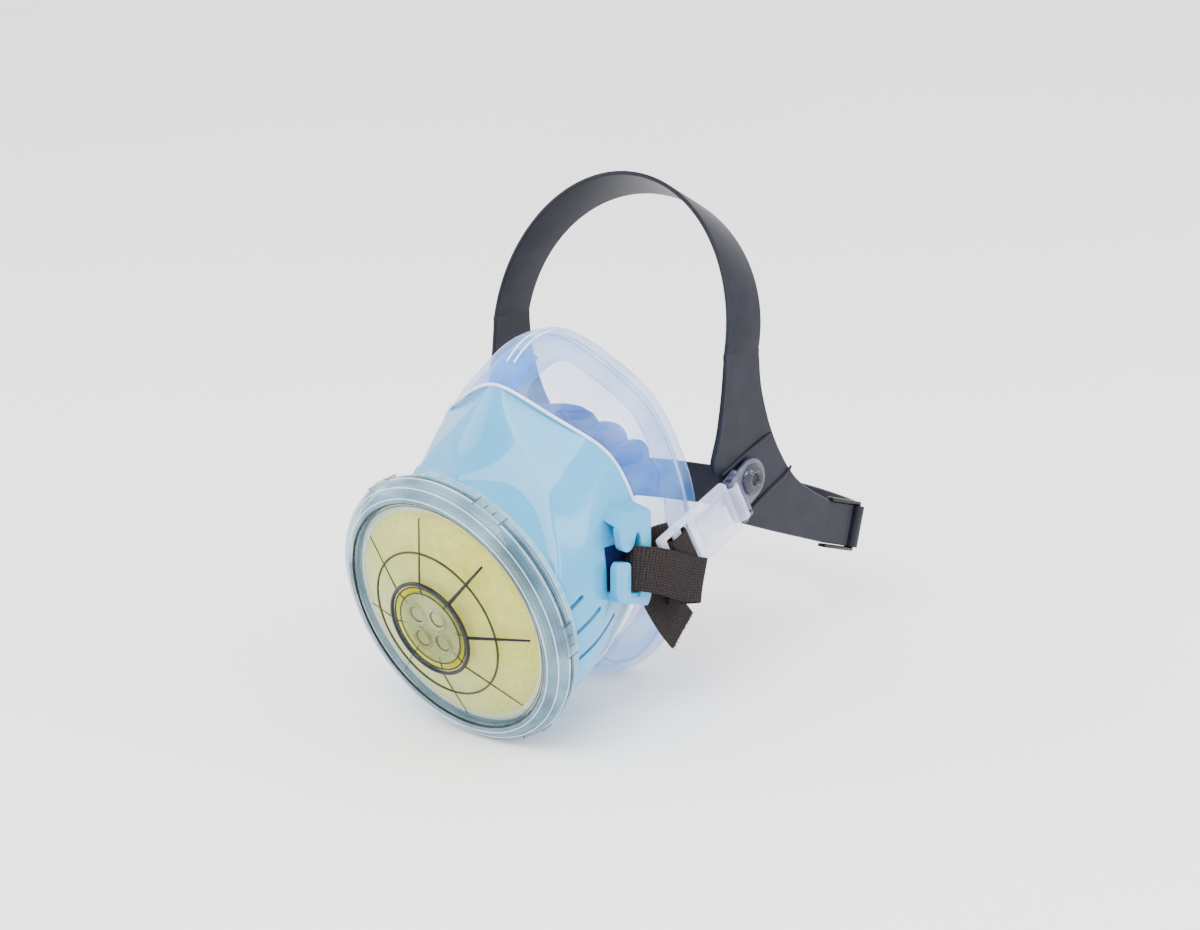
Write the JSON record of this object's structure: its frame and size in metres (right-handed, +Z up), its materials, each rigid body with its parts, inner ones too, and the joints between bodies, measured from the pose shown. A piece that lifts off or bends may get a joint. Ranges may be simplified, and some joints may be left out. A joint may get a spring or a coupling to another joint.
{
  "type": "half-mask respirator",
  "caption": "Half-face respirator with a round screw-on front filter, a rigid shell on a soft face seal, side strap hooks with buckles, and a tilting head-and-neck harness.",
  "frame": {"origin": "bottom centre of the object's box, standing on the filter cap's rim and the chin of the facepiece", "axes": "+Z up, -Y forward (the filter looks forward and slightly down), +X the wearer's left, X = 0 the plane of symmetry"},
  "size_m": [0.1232, 0.182, 0.1788],
  "materials": {
    "cap": "clear moulded plastic, glossy, faintly blue",
    "filter_media": "pale yellow electret felt, matt",
    "base": "pale blue moulded plastic, glossy",
    "seal": "dark soft rubber, matt",
    "shell": "light blue moulded plastic, glossy",
    "facepiece": "translucent silicone, satin",
    "clamp": "violet-blue moulded plastic, satin",
    "valve_seat": "white moulded plastic",
    "valve_flap": "thin white silicone, satin",
    "webbing": "woven grey-brown elastic",
    "buckle": "clear moulded plastic, glossy",
    "link": "lavender-grey moulded plastic",
    "button": "clear moulded plastic, glossy",
    "harness": "dark blue-grey moulded rubber, satin",
    "clip": "black moulded plastic"
  },
  "bodies": {
    "mask": {"facepiece": "facepiece", "front_shell": "shell", "clamp_frame": "clamp", "filter_base": "base", "base_gasket": "seal", "filter_pad": "filter_media", "neck_nut": "base", "inhale_seat": "valve_seat", "exhale_seat_left": "valve_seat", "exhale_seat_right": "valve_seat", "webbing_left": "webbing", "webbing_right": "webbing", "buckle_left": "buckle", "buckle_right": "buckle", "link_left": "link", "link_right": "link", "snap_button_left": "button", "snap_button_right": "button"},
    "cap_seal": {"cap_seal": "seal"},
    "filter_cap": {"filter_cap": "cap"},
    "inhale_valve": {"inhale_flap": "valve_flap"},
    "exhale_valve_left": {"exhale_flap_left": "valve_flap"},
    "exhale_valve_right": {"exhale_flap_right": "valve_flap"},
    "harness": {"head_harness": "harness", "neck_strap": "harness", "neck_clip_left": "clip", "neck_clip_right": "clip"}
  },
  "joints": [
    {"name": "cap_lift", "type": "slide", "parent": "mask", "child": "cap_seal", "axis": [0, -0.9836, -0.1805], "range_m": [0, 0.004]},
    {"name": "cap_turn", "type": "hinge", "parent": "cap_seal", "child": "filter_cap", "pos_m": [0, -0.079, 0.04856], "axis": [0, -0.9836, -0.1805], "range_deg": [0, 90]},
    {"name": "harness_tilt", "type": "hinge", "parent": "mask", "child": "harness", "pos_m": [0, 0.01702, 0.07802], "axis": [1, 0, 0], "range_deg": [-25, 20]},
    {"name": "inhale_open", "type": "slide", "parent": "mask", "child": "inhale_valve", "axis": [0, 0.9836, 0.1805], "range_m": [0, 0.0015], "stiffness_N_per_m": 10, "springref_m": -0.0006},
    {"name": "exhale_open_left", "type": "slide", "parent": "mask", "child": "exhale_valve_left", "axis": [1, 0, 0], "range_m": [0, 0.0015], "stiffness_N_per_m": 10, "springref_m": -0.0006},
    {"name": "exhale_open_right", "type": "slide", "parent": "mask", "child": "exhale_valve_right", "axis": [-1, 0, 0], "range_m": [0, 0.0015], "stiffness_N_per_m": 10, "springref_m": -0.0006}
  ],
  "couplings": [
    {"joint": "cap_lift", "follows": "cap_turn", "m_per_rad": 0.002546}
  ]
}
